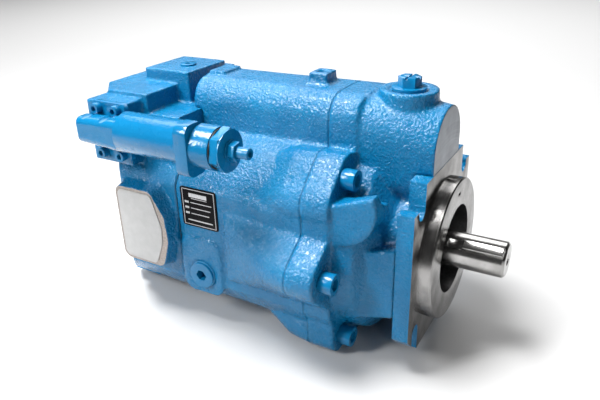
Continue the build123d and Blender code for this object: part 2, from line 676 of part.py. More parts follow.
with BuildPart() as side_plug:
    plug_face = SIDE_PLUG_SEAT - SEAL_T - 2.5
    bar_y(SIDE_PLUG_SEAT - SEAL_T, SIDE_PLUG_SEAT + 14, SIDE_PLUG_R, SIDE_PLUG_X, SIDE_PLUG_Z)
    bar_y(plug_face, SIDE_PLUG_SEAT - SEAL_T, 13, SIDE_PLUG_X, SIDE_PLUG_Z)
    socket_plane = Plane(origin=(SIDE_PLUG_X, plug_face, SIDE_PLUG_Z), x_dir=(1, 0, 0), z_dir=(0, 1, 0))
    hex_prism(socket_plane, 10, 8, mode=Mode.SUBTRACT)
finish(side_plug, "side_plug")

with BuildPart() as gauge_plug:
    bar_z(TURRET_TOP - 12, TURRET_TOP, GAUGE_R, GAUGE_X)
    bar_z(TURRET_TOP, TURRET_TOP + 1.5, 8.2, GAUGE_X)
    hex_prism(Plane.XY.offset(TURRET_TOP - 3).move(Location((GAUGE_X, 0, 0))), 5, 4.5, mode=Mode.SUBTRACT)
finish(gauge_plug, "gauge_plug")

with BuildPart() as nameplate:
    with BuildSketch(Plane(origin=(0, -SIDE_Y, 0), x_dir=(1, 0, 0), z_dir=(0, -1, 0))) as plate_outline:
        with Locations((-199.0, 30.5)):
            RectangleRounded(40, 39, 2.5)
    extrude(amount=0.8)
finish(nameplate, "nameplate")

with BuildPart() as port_film:
    with BuildSketch(Plane(origin=(0, -PORT_FACE_Y, 0), x_dir=(1, 0, 0), z_dir=(0, -1, 0))) as film_outline:
        Polygon((-285, -31), (-246, -32), (-236, -8), (-235, 8), (-244, 40), (-285, 40), align=None)
        fillet(film_outline.vertices(), 6)
    extrude(amount=0.6)
finish(port_film, "port_film")


# ---------------------------------------------------------------- compensator
COMP_BASE_T = 5.5
COMP_FRONT = -151.0
BARREL_REAR = -250.0
COMP_REAR = -302.0
RIB_REAR = -182.0
RIB_FRONT = -170.0
SPRING_CHAMBER_R = 12.0
SPRING_CHAMBER_END = -212.0
SPOOL_R = 5.5
SPOOL_BORE_END = -290.0
PLUG_THREAD_R = 14.0
PLUG_THREAD_END = -164.0
GASKET_Y = COMP_MOUNT_Y - GASKET_T

with BuildPart() as compensator_gasket:
    block((-302.5, -268), (GASKET_Y, COMP_MOUNT_Y), (68.5, 121))
    bar_y(GASKET_Y, COMP_MOUNT_Y, 2.5, COMP_PORT_X, CONTROL_Z, mode=Mode.SUBTRACT)
    for x, z in COMP_SCREWS:
        bar_y(GASKET_Y, COMP_MOUNT_Y, M6_R, x, z, mode=Mode.SUBTRACT)
finish(compensator_gasket, "compensator_gasket")

with BuildPart() as compensator_body:
    bar_x(BARREL_REAR, COMP_FRONT, COMP_R, COMP_Y, COMP_Z)
    # rear block that narrows towards the end
    ends = [(BARREL_REAR, 22, 28), (COMP_REAR, 19, 24)]
    sections = [
        along_x(x) * rounded_box_outline(COMP_Y, COMP_Z - 3, width, height, 6) for x, width, height in ends
    ]
    loft(sections, ruled=True)
    # base, with the corners rounded
    with BuildSketch(Plane(origin=(0, GASKET_Y, 0), x_dir=(1, 0, 0), z_dir=(0, -1, 0))) as base_outline:
        with Locations((-282.5, 95.5)):
            RectangleRounded(41, 55, 6)
    extrude(amount=COMP_BASE_T)
    # neck between the base and the valve barrel
    block((-300, -262), (COMP_Y, GASKET_Y), (90, 110))
    block((-268, -254), (COMP_Y, GASKET_Y - 2), (90, 114))
    # rib round the barrel
    slab_x(rounded_box_outline(COMP_Y - 6.5, COMP_Z - 1.5, 25, 44, 8), RIB_REAR, RIB_FRONT)
    # bores, from the front
    bar_x(PLUG_THREAD_END, COMP_FRONT, PLUG_THREAD_R, COMP_Y, COMP_Z, mode=Mode.SUBTRACT)
    bar_x(SPRING_CHAMBER_END, COMP_FRONT, SPRING_CHAMBER_R, COMP_Y, COMP_Z, mode=Mode.SUBTRACT)
    bar_x(SPOOL_BORE_END, COMP_FRONT, SPOOL_R, COMP_Y, COMP_Z, mode=Mode.SUBTRACT)
    bar_y(COMP_Y, COMP_MOUNT_Y, 2.5, COMP_PORT_X, CONTROL_Z, mode=Mode.SUBTRACT)
    for x, z in COMP_SCREWS:
        bar_y(GASKET_Y - COMP_BASE_T, GASKET_Y, M6_R + 0.3, x, z, mode=Mode.SUBTRACT)
        bar_y(-125, GASKET_Y - COMP_BASE_T, 5.6, x, z, mode=Mode.SUBTRACT)
finish(compensator_body, "compensator_body")

with BuildPart() as compensator_screws:
    for x, z in COMP_SCREWS:
        screw_plane = Plane(origin=(x, GASKET_Y - COMP_BASE_T, z), x_dir=(1, 0, 0), z_dir=(0, -1, 0))
        socket_screw(screw_plane, M6_R, 16, 5, 6)
finish(compensator_screws, "compensator_screws")

PLUG_FACE = -141.0
SCREW_R = 4.76
SCREW_TIP = -162.0
SCREW_HEAD = -122.5
NUT_TOP = -133.5
WASHER_T = 1.2
SPRING_FRONT = -172.0
SPRING_REAR = -204.0

PLUG_SEAT = COMP_FRONT + 1.2
PLUG_REAR = -157.0
PLUG_HEX = 32.0
PLUG_CORNER_R = 17.2
PLUG_CORNER_DEPTH = 1.4

ring("compensator_plug_seal", COMP_FRONT, PLUG_SEAT, 17, PLUG_THREAD_R, COMP_Y, COMP_Z)

with BuildPart() as compensator_plug:
    bar_x(PLUG_REAR, PLUG_SEAT, PLUG_THREAD_R, COMP_Y, COMP_Z)
    hex_prism(along_x(PLUG_SEAT, COMP_Y, COMP_Z), PLUG_HEX, PLUG_FACE - PLUG_SEAT, turn=18)
    # the hexagon's front corners are turned off
    bar_x(PLUG_FACE - PLUG_CORNER_DEPTH, PLUG_FACE, 25, COMP_Y, COMP_Z, mode=Mode.SUBTRACT)
    bar_x(PLUG_FACE - PLUG_CORNER_DEPTH, PLUG_FACE, PLUG_CORNER_R, COMP_Y, COMP_Z)
    bar_x(PLUG_REAR, PLUG_FACE, SCREW_R + RUNNING, COMP_Y, COMP_Z, mode=Mode.SUBTRACT)
finish(compensator_plug, "compensator_plug")

ring("lock_washer", PLUG_FACE + 0.05, PLUG_FACE + 0.05 + WASHER_T, 9.0, SCREW_R + 0.08, COMP_Y, COMP_Z)

with BuildPart() as lock_nut:
    nut_seat = PLUG_FACE + 0.1 + WASHER_T
    hex_prism(along_x(nut_seat, COMP_Y, COMP_Z), 14.3, NUT_TOP - nut_seat, turn=10)
    bar_x(nut_seat, NUT_TOP, SCREW_R + RUNNING, COMP_Y, COMP_Z, mode=Mode.SUBTRACT)
finish(lock_nut, "lock_nut")

with BuildPart() as adjusting_screw:
    bar_x(SCREW_TIP, SCREW_HEAD, SCREW_R, COMP_Y, COMP_Z)
    chamfer(adjusting_screw.edges().filter_by(GeomType.CIRCLE), 0.6)
    hex_prism(along_x(SCREW_HEAD - 5, COMP_Y, COMP_Z), 5, 5, mode=Mode.SUBTRACT)
finish(adjusting_screw, "adjusting_screw")

with BuildPart() as spring_seat:
    bar_x(SCREW_TIP - 4, SCREW_TIP - 0.05, 4.6, COMP_Y, COMP_Z)
    bar_x(SPRING_FRONT, SCREW_TIP - 4, 10.5, COMP_Y, COMP_Z)
    bar_x(SPRING_FRONT - 5, SPRING_FRONT, 5, COMP_Y, COMP_Z)
finish(spring_seat, "spring_seat")

compression_spring("compensator_spring", SPRING_REAR, SPRING_FRONT, 8, 1.4, 6, COMP_Y, COMP_Z)

with BuildPart() as compensator_spool:
    bar_x(-284, SPRING_REAR - 4, SPOOL_R - RUNNING, COMP_Y, COMP_Z)
    # two lands with a groove between them
    for x in (-272, -246):
        bar_x(x, x + 12, SPOOL_R, COMP_Y, COMP_Z, mode=Mode.SUBTRACT)
        bar_x(x, x + 12, 3.4, COMP_Y, COMP_Z)
    bar_x(SPRING_REAR - 4, SPRING_REAR, 10.5, COMP_Y, COMP_Z)
    bar_x(SPRING_REAR, SPRING_REAR + 5, 5, COMP_Y, COMP_Z)
finish(compensator_spool, "compensator_spool")


# ---------------------------------------------------------------- shaft and its bearings
def spline_outline(root_r, tip_r, tooth_width):
    """Straight-sided splines round the shaft, drawn in (y, z)."""
    with BuildSketch() as outline:
        Circle(root_r)
        with PolarLocations((root_r + tip_r) / 2, SPLINE_TEETH):
            Rectangle(tip_r - root_r + 1, tooth_width)
        Circle(tip_r, mode=Mode.INTERSECT)
    return outline.sketch


CORE_R = 16.0
SEAT_R = 20.0
JOURNAL_R = 14.0
SPLINE_FROM = -206.0
SPLINE_TO = -176.0
SPLINE_TIP_R = 18.5
KEY_FLOOR_R = 11.9
KEY_TOP_R = SHAFT_R + KEY_WIDTH / 2
key_up = Plane(
    origin=(0, 0, 0),
    x_dir=(1, 0, 0),
    z_dir=(0, -sin(radians(KEY_TILT)), cos(radians(KEY_TILT))),
)

with BuildPart() as drive_shaft:
    bar_x(0, SHAFT_END, SHAFT_R)
    chamfer(drive_shaft.edges().filter_by(GeomType.CIRCLE).sort_by(Axis.X)[-1], 2)
    bar_x(FRONT_CUP_END, 0, COLLAR_R)
    chamfer(drive_shaft.edges().filter_by(GeomType.CIRCLE).sort_by(Axis.X)[-4:-3], 1)
    bar_x(-38, FRONT_CUP_END, SEAT_R)
    bar_x(-232, -38, CORE_R)
    slab_x(spline_outline(CORE_R, SPLINE_TIP_R, 4.6), SPLINE_FROM, SPLINE_TO)
    bar_x(REAR_CUP_END + 1, -232, JOURNAL_R)
    # keyway with a cutter run-out at its inner end
    with BuildSketch(key_up.offset(KEY_FLOOR_R)) as keyway:
        with Locations(((KEY_FROM + SHAFT_END) / 2, 0)):
            Rectangle(SHAFT_END - KEY_FROM, KEY_WIDTH)
    extrude(amount=8, mode=Mode.SUBTRACT)
    cutter_centre = key_up.from_local_coords((KEY_FROM, 0, KEY_FLOOR_R + 25))
    with Locations(Plane(origin=cutter_centre, x_dir=(1, 0, 0), z_dir=key_up.y_dir)):
        Cylinder(25, KEY_WIDTH, mode=Mode.SUBTRACT)
    # centre hole in the end
    cone_x(SHAFT_END - 7, SHAFT_END, 1.5, 5, mode=Mode.SUBTRACT)
finish(drive_shaft, "drive_shaft")

with BuildPart() as shaft_key:
    with BuildSketch(key_up.offset(KEY_FLOOR_R)) as key_outline:
        with Locations(((KEY_FROM + KEY_TO) / 2, 0)):
            Rectangle(KEY_TO - KEY_FROM, KEY_WIDTH)
    extrude(amount=KEY_TOP_R - KEY_FLOOR_R)
    chamfer(shaft_key.faces().sort_by(Axis((0, 0, 0), key_up.z_dir))[-1].edges(), 0.5)
finish(shaft_key, "shaft_key")

ring("shaft_seal", SEAL_REAR, RING_REAR, SEAL_R, COLLAR_R + 0.05)

with BuildPart() as seal_retaining_ring:
    bar_x(RING_REAR, RING_REAR + RING_T, SEAL_R + RING_GROOVE)
    bar_x(RING_REAR, RING_REAR + RING_T, SEAL_R - 4, mode=Mode.SUBTRACT)
    # gap between the ends, with a plier hole in each
    block((RING_REAR, RING_REAR + RING_T), (-5, 5), (20, SEAL_R + 6), mode=Mode.SUBTRACT)
    for side in (-1, 1):
        bar_x(RING_REAR, RING_REAR + RING_T, 3, side * 7.5, 25.5)
        bar_x(RING_REAR, RING_REAR + RING_T, 1.1, side * 7.5, 25.5, mode=Mode.SUBTRACT)
finish(seal_retaining_ring, "seal_retaining_ring")

FRONT_BEARING_END = -38.0
ring("front_bearing_cone", FRONT_BEARING_END, FRONT_CUP_END, 25.5, SEAT_R)
ring("front_bearing_cup", FRONT_BEARING_END, FRONT_CUP_END, FRONT_CUP_R, 32.2)
roller_set("front_bearing_rollers", FRONT_BEARING_END + 3, FRONT_CUP_END - 3, 28.85, 3.2, 26)
ring("rear_bearing_cup", REAR_CUP_END, REAR_SEAM_X - 8, REAR_CUP_R, 19.3)
roller_set("rear_bearing_rollers", REAR_CUP_END + 3, -237, 16.65, 2.5, 20)


# ---------------------------------------------------------------- rotating group
BALL_REAR = -124.0
SHOE_FACE = SWASH_X - 0.05
SHOE_SHOULDER = SHOE_FACE - 3.45
SHOE_BODY_R = 8.7
PLATE_REAR = -111.0
PLATE_FRONT = SHOE_SHOULDER - 0.05
WASHER_SPHERE_R = 21.5
SPRING_POCKET_R = 21.5
SPRING_POCKET_REAR = -174.0


def piston_places(extra_r=0.0):
    """Centres of the pistons round the shaft, in (y, z)."""
    step = 2 * pi / PISTON_COUNT
    radius = PITCH_R + extra_r
    return [(radius * sin(step * index), radius * cos(step * index)) for index in range(PISTON_COUNT)]


with BuildPart() as cylinder_block:
    bar_x(BLOCK_REAR, BLOCK_FRONT, BLOCK_R)
    chamfer(cylinder_block.edges().filter_by(GeomType.CIRCLE), 1.5)
    bar_x(-192, -186, BLOCK_R + 1, mode=Mode.SUBTRACT)
    bar_x(-193, -185, BLOCK_R - 1.5)
    for y, z in piston_places():
        bar_x(BORE_FLOOR, BLOCK_FRONT, PISTON_R + RUNNING, y, z, mode=Mode.SUBTRACT)
        bar_x(BLOCK_REAR, BORE_FLOOR, 5, y, z, mode=Mode.SUBTRACT)
    spline_bore = spline_outline(CORE_R + 0.1, SPLINE_TIP_R + 0.1, 4.8)
    slab_x(spline_bore, BLOCK_REAR, SPRING_POCKET_REAR, mode=Mode.SUBTRACT)
    bar_x(SPRING_POCKET_REAR, BLOCK_FRONT, SPRING_POCKET_R, mode=Mode.SUBTRACT)
finish(cylinder_block, "cylinder_block")


def box_profile(x_from, x_to, r_from, r_to, mode=Mode.ADD):
    """A rectangle in a turned outline, between two stations and two radii."""
    with Locations(((x_from + x_to) / 2, (r_from + r_to) / 2)):
        Rectangle(x_to - x_from, r_to - r_from, mode=mode)


def piston_profile():
    """Half outline of a piston: hollow body, neck and ball, with an oil hole through the ball."""
    with BuildSketch() as outline:
        box_profile(-186, BALL_REAR, 0, PISTON_R)
        Polygon((BALL_REAR, 0), (BALL_REAR, 8.5), (BALL_REAR + 3, 4.5), (BALL_REAR + 3, 0), align=None)
        box_profile(BALL_REAR, BALL_X, 0, 4.5)
        with Locations((BALL_X, 0)):
            Circle(BALL_R)
        box_profile(-190, BALL_X + 20, -20, 1, mode=Mode.SUBTRACT)
        box_profile(-190, -146, 0, 5.5, mode=Mode.SUBTRACT)
    return outline.sketch


def shoe_profile():
    """Half outline of a slipper shoe: flange, socket round the ball, and an oil pocket in its face."""
    with BuildSketch() as outline:
        box_profile(SHOE_SHOULDER, SHOE_FACE, 0, 10)
        box_profile(BALL_X - 3.5, SHOE_SHOULDER, 0, SHOE_BODY_R)
        with Locations((BALL_X, 0)):
            Circle(BALL_R + RUNNING, mode=Mode.SUBTRACT)
        box_profile(BALL_X - 10, SHOE_FACE + 5, -20, 1, mode=Mode.SUBTRACT)
        box_profile(SHOE_FACE - 0.8, SHOE_FACE + 5, 0, 5.5, mode=Mode.SUBTRACT)
    return outline.sketch


for number, (piston_y, piston_z) in enumerate(piston_places(), start=1):
    with BuildPart() as piston:
        turned(piston_profile(), piston_y, piston_z)
    finish(piston, f"piston_{number}")

with BuildPart() as piston_shoes:
    for y, z in piston_places():
        turned(shoe_profile(), y, z)
finish(piston_shoes, "piston_shoes")

with BuildPart() as shoe_plate:
    bar_x(PLATE_REAR, PLATE_FRONT, 46)
    # conical seat on the washer
    cone_x(PLATE_REAR, PLATE_FRONT, WASHER_SPHERE_R + 0.1, WASHER_SPHERE_R - 0.6, mode=Mode.SUBTRACT)
    for y, z in piston_places():
        bar_x(PLATE_REAR, PLATE_FRONT, SHOE_BODY_R + 0.5, y, z, mode=Mode.SUBTRACT)
finish(shoe_plate, "shoe_plate")

with BuildPart() as spherical_washer:
    with Locations((BALL_X, 0, 0)):
        Sphere(WASHER_SPHERE_R)
    block((-122, -108), (-30, 30), (-30, 30), mode=Mode.INTERSECT)
    bar_x(-122, -108, CORE_R + 0.1, mode=Mode.SUBTRACT)
finish(spherical_washer, "spherical_washer")

PIN_R = 1.9
with BuildPart() as hold_down_pins:
    for index in range(3):
        turn = 2 * pi * index / 3
        bar_x(-142, -122, PIN_R, 18.6 * sin(turn), 18.6 * cos(turn))
finish(hold_down_pins, "hold_down_pins")
ring("block_spring_seat", -144, -142, SPRING_POCKET_R - 0.1, CORE_R + 0.1)
compression_spring("block_spring", SPRING_POCKET_REAR, -144, 18.8, 1.4, 6)

with BuildPart() as valve_plate:
    bar_x(REAR_SEAM_X, BLOCK_REAR - 0.1, BLOCK_R)
    bar_x(REAR_SEAM_X, BLOCK_REAR - 0.1, 22, mode=Mode.SUBTRACT)
    kidney(1, 29.5, 38.5, radians(66), REAR_SEAM_X, BLOCK_REAR - 0.1, Mode.SUBTRACT)
    for turn in (-48, -16, 16, 48):
        slot_angle = radians(180 + turn)
        slot_y = PITCH_R * cos(slot_angle)
        slot_z = PITCH_R * sin(slot_angle)
        bar_x(REAR_SEAM_X, BLOCK_REAR - 0.1, 4.5, slot_y, slot_z, mode=Mode.SUBTRACT)
finish(valve_plate, "valve_plate")


# ---------------------------------------------------------------- yoke and its pistons
YOKE_REAR = -98.0
YOKE_FRONT = -78.0
YOKE_R = 52.0
ARM_REAR = -84.0
ARM_FRONT = -68.0

with BuildPart() as yoke:
    bar_x(YOKE_REAR, YOKE_FRONT, YOKE_R)
    # ears to the hinge on both sides
    with BuildSketch() as ear_rounds:
        with Locations((HINGE_X, HINGE_Z)):
            Circle(10)
        with Locations((-89, 22)):
            Circle(8)
        with Locations((-84, 10)):
            Circle(6)
    with BuildSketch() as ear_outline:
        make_hull(ear_rounds.sketch.edges())
    for y_from, y_to in ((-46, -34), (34, 46)):
        side_profile(ear_outline.sketch, y_from, y_to)
    # arm for the control and bias pistons
    block((ARM_REAR, ARM_FRONT), (-14, 14), (40, 99))
    block((-96, -80), (-14, 14), (30, 56))
    bar_x(-110, -60, 26, mode=Mode.SUBTRACT)
    for y_from, y_to in ((-50, -30), (30, 50)):
        bar_y(y_from, y_to, YOKE_PIN_R, HINGE_X, HINGE_Z, mode=Mode.SUBTRACT)
finish(yoke, "yoke")

with BuildPart() as yoke_pins:
    for y_from, y_to in ((-64, -34), (34, 64)):
        bar_y(y_from, y_to, YOKE_PIN_R, HINGE_X, HINGE_Z)
finish(yoke_pins, "yoke_pins")

with BuildPart() as yoke_bushings:
    for y_from, y_to in ((-PIN_END_Y, -PIN_WALL_Y), (PIN_WALL_Y, PIN_END_Y)):
        bar_y(y_from, y_to, BUSHING_R, HINGE_X, HINGE_Z)
        bar_y(y_from, y_to, YOKE_PIN_R + RUNNING, HINGE_X, HINGE_Z, mode=Mode.SUBTRACT)
finish(yoke_bushings, "yoke_bushings")

with BuildPart() as wear_plate:
    bar_x(SWASH_X, YOKE_REAR, 50)
    chamfer(wear_plate.edges().filter_by(GeomType.CIRCLE), 0.6)
    bar_x(SWASH_X, YOKE_REAR, 24, mode=Mode.SUBTRACT)
finish(wear_plate, "wear_plate")

TIP_GAP = 0.3
NOSE_R = 8.0


def nosed_piston(nose_x, neck_x, shoulder_x, tail_x, piston_r, hollow_x):
    """Half outline of a plunger with a ball nose, a neck, a body and a hollow tail."""
    with BuildSketch() as outline:
        box_profile(min(shoulder_x, tail_x), max(shoulder_x, tail_x), 0, piston_r)
        box_profile(min(nose_x, neck_x), max(nose_x, neck_x), 0, 6.5)
        with Locations((nose_x, 0)):
            Circle(NOSE_R)
        box_profile(min(hollow_x, tail_x), max(hollow_x, tail_x), 0, 6, mode=Mode.SUBTRACT)
        box_profile(-400, 100, -50, 0, mode=Mode.SUBTRACT)
    return outline.sketch


with BuildPart() as control_piston:
    turned(nosed_piston(ARM_REAR - TIP_GAP - NOSE_R, -104, -104, -150, CONTROL_R, -125), z=CONTROL_Z)
finish(control_piston, "control_piston")

with BuildPart() as bias_piston:
    turned(nosed_piston(ARM_FRONT + TIP_GAP + NOSE_R, -54, -55, -34, BIAS_R, -40), z=CONTROL_Z)
finish(bias_piston, "bias_piston")

compression_spring("bias_spring", -34, BIAS_END, 9, 1.4, 4, z=CONTROL_Z)
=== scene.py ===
"""Looks of the axial piston pump: blue enamelled castings, machined drive end, soft white studio."""

import json
import math

import bmesh
import bpy
import numpy as np
from mathutils import Matrix, Vector


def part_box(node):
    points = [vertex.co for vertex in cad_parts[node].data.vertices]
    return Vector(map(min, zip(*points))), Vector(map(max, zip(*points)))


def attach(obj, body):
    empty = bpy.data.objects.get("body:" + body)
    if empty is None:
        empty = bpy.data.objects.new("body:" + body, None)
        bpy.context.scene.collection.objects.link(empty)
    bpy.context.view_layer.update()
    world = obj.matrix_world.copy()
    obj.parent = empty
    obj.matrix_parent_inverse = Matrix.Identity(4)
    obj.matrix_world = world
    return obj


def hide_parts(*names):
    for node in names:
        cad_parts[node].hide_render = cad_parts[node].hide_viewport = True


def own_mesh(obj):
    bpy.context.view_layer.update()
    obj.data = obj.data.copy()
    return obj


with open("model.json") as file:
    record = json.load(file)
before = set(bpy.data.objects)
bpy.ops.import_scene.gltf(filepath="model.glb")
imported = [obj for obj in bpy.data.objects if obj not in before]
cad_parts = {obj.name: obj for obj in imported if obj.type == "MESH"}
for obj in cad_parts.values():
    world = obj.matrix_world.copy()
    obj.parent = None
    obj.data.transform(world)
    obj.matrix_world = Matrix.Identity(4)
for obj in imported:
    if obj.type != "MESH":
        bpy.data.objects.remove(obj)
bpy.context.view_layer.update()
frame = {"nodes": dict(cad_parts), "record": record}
nodes = frame["nodes"]
MM = 0.001

# ------------------------------------------------------------------ places in the shared frame
# the origin is on the shaft's axis, in the flange's front face
SEAM_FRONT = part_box("front_housing")[0].x
SEAM_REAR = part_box("valve_block")[1].x
BELLY_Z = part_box("centre_housing")[0].z
FLANGE_BACK = -14 * MM
FLANGE_TOP = 78.5 * MM
LOBE_FACE = -0.25 * MM
PORT_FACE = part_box("valve_block")[1].y
RECESS_R = 40 * MM


# ------------------------------------------------------------------ camera
CAMERA_AZIMUTH = 30.1
CAMERA_ELEVATION = 24.78
CAMERA_ROLL = -1.58
CAMERA_PLACE = (0.1325, -0.4754, 0.2686)
CAMERA_LENS = 36.78
SENSOR_WIDTH = 36


def make_camera():
    """Camera at the fitted azimuth, elevation and roll, with a 36 mm sensor."""
    azimuth, elevation, roll = map(math.radians, (CAMERA_AZIMUTH, CAMERA_ELEVATION, CAMERA_ROLL))
    back = Vector((
        math.sin(azimuth) * math.cos(elevation),
        -math.cos(azimuth) * math.cos(elevation),
        math.sin(elevation),
    ))
    right = Vector((math.cos(azimuth), math.sin(azimuth), 0))
    up = back.cross(right)
    right_rolled = math.cos(roll) * right + math.sin(roll) * up
    up_rolled = math.cos(roll) * up - math.sin(roll) * right
    data = bpy.data.cameras.new("camera")
    data.lens = CAMERA_LENS
    data.sensor_width = SENSOR_WIDTH
    data.clip_start = 0.01
    data.clip_end = 50
    camera = bpy.data.objects.new("camera", data)
    bpy.context.scene.collection.objects.link(camera)
    axes = Matrix((right_rolled, up_rolled, back)).transposed()
    camera.matrix_world = Matrix.Translation(CAMERA_PLACE) @ axes.to_4x4()
    bpy.context.scene.camera = camera


# ------------------------------------------------------------------ materials
def new_material(name, colour, roughness, metallic=0.0):
    """A Principled material; returns it with its node tree and shader."""
    material = bpy.data.materials.new(name)
    material.use_nodes = True
    tree = material.node_tree
    shader = tree.nodes["Principled BSDF"]
    shader.inputs["Base Color"].default_value = (*colour, 1)
    shader.inputs["Roughness"].default_value = roughness
    shader.inputs["Metallic"].default_value = metallic
    return material, tree, shader


def object_place(tree):
    """Object coordinates."""
    return tree.nodes.new("ShaderNodeTexCoord").outputs["Object"]


def noise_value(tree, vector, scale, detail=3.0, rough=0.5):
    """Output of a noise texture."""
    texture = tree.nodes.new("ShaderNodeTexNoise")
    texture.inputs["Scale"].default_value = scale
    texture.inputs["Detail"].default_value = detail
    texture.inputs["Roughness"].default_value = rough
    tree.links.new(vector, texture.inputs["Vector"])
    return texture.outputs["Fac"]


def remap(tree, value, low, high, out_low, out_high):
    """Maps a value range to another, clamped."""
    node = tree.nodes.new("ShaderNodeMapRange")
    for socket, number in (("From Min", low), ("From Max", high), ("To Min", out_low), ("To Max", out_high)):
        node.inputs[socket].default_value = number
    tree.links.new(value, node.inputs["Value"])
    return node.outputs["Result"]


def mix_colours(tree, factor, first, second):
    """Mixes two colours; each is a tuple or a socket."""
    node = tree.nodes.new("ShaderNodeMix")
    node.data_type = "RGBA"
    tree.links.new(factor, node.inputs["Factor"])
    for socket, colour in ((node.inputs[6], first), (node.inputs[7], second)):
        if isinstance(colour, tuple):
            socket.default_value = (*colour, 1)
        else:
            tree.links.new(colour, socket)
    return node.outputs[2]


def add_bump(tree, shader, height, strength, distance, normal=None, coat=False):
    """Bump from a height value, on top of an earlier normal."""
    bump = tree.nodes.new("ShaderNodeBump")
    bump.inputs["Strength"].default_value = strength
    bump.inputs["Distance"].default_value = distance
    tree.links.new(height, bump.inputs["Height"])
    if normal is not None:
        tree.links.new(normal, bump.inputs["Normal"])
    tree.links.new(bump.outputs["Normal"], shader.inputs["Normal"])
    if coat:
        tree.links.new(bump.outputs["Normal"], shader.inputs["Coat Normal"])
    return bump.outputs["Normal"]


def shades(colour, change):
    """A darker and a paler version of a colour."""
    dark = tuple(part * (1 - change) for part in colour)
    pale = tuple(min(1, part * (1 + change)) for part in colour)
    return dark, pale


def blue_enamel(name, lump_strength, pebble_strength):
    """Glossy blue enamel over metal, with cast lumps, fine pebbles and a little colour change."""
    material, tree, shader = new_material(name, BLUE, 0.3)
    place = object_place(tree)
    tone = noise_value(tree, place, 28, 4)
    deep = mix_colours(tree, remap(tree, tone, 0.35, 0.7, 0, 1), BLUE_DEEP, BLUE)
    dust = remap(tree, noise_value(tree, place, 420, 5, 0.7), 0.62, 0.78, 0, 0.15)
    tree.links.new(mix_colours(tree, dust, deep, BLUE_PALE), shader.inputs["Base Color"])
    lumps = noise_value(tree, place, 190, 2, 0.4)
    normal = add_bump(tree, shader, lumps, lump_strength, ENAMEL_RELIEF, coat=True)
    pebbles = remap(tree, noise_value(tree, place, 480, 2, 0.5), 0.38, 0.64, 0, 1)
    add_bump(tree, shader, pebbles, pebble_strength, ENAMEL_RELIEF, normal, coat=True)
    gloss = remap(tree, noise_value(tree, place, 90, 3), 0.3, 0.7, 0.20, 0.32)
    tree.links.new(gloss, shader.inputs["Roughness"])
    shader.inputs["Specular IOR Level"].default_value = 0.08
    shader.inputs["Coat Weight"].default_value = 0.6
    shader.inputs["Coat Roughness"].default_value = 0.1
    return material


def turned_metal(name, colour, roughness, ring_scale, change=0.25):
    """Machined metal with fine turning marks round the shaft's axis."""
    material, tree, shader = new_material(name, colour, roughness, 1.0)
    place = object_place(tree)
    split = tree.nodes.new("ShaderNodeSeparateXYZ")
    tree.links.new(place, split.inputs["Vector"])
    radius = tree.nodes.new("ShaderNodeVectorMath")
    radius.operation = "LENGTH"
    flat = tree.nodes.new("ShaderNodeVectorMath")
    flat.operation = "MULTIPLY"
    flat.inputs[1].default_value = (0, 1, 1)
    tree.links.new(place, flat.inputs[0])
    tree.links.new(flat.outputs["Vector"], radius.inputs[0])
    joined = tree.nodes.new("ShaderNodeCombineXYZ")
    tree.links.new(radius.outputs["Value"], joined.inputs["X"])
    tree.links.new(split.outputs["X"], joined.inputs["Y"])
    rings = noise_value(tree, joined.outputs["Vector"], ring_scale, 4, 0.7)
    patches = noise_value(tree, place, 60, 4)
    dark, pale = shades(colour, change)
    tone = mix_colours(tree, remap(tree, patches, 0.35, 0.65, 0, 1), dark, pale)
    tree.links.new(tone, shader.inputs["Base Color"])
    rough_low, rough_high = roughness * 0.75, roughness * 1.35
    tree.links.new(remap(tree, rings, 0.3, 0.7, rough_low, rough_high), shader.inputs["Roughness"])
    add_bump(tree, shader, rings, 0.25, 0.1 * MM)
    return material


def plain_detail(
    name, colour, roughness, metallic=0.0, scale=300, strength=0.2, change=0.2, shine=0.5
):
    """A simple finish with fine grain, for seals, gaskets, trim and hidden pieces."""
    material, tree, shader = new_material(name, colour, roughness, metallic)
    shader.inputs["Specular IOR Level"].default_value = shine
    place = object_place(tree)
    grain = noise_value(tree, place, scale, 4)
    dark, pale = shades(colour, change)
    tone = mix_colours(tree, remap(tree, grain, 0.3, 0.7, 0, 1), dark, pale)
    tree.links.new(tone, shader.inputs["Base Color"])
    add_bump(tree, shader, grain, strength, 0.2 * MM)
    return material


ENAMEL_RELIEF = 1.2 * MM
BLUE = (0.002, 0.152, 0.330)
BLUE_DEEP = (0.002, 0.125, 0.280)
BLUE_PALE = (0.015, 0.195, 0.370)

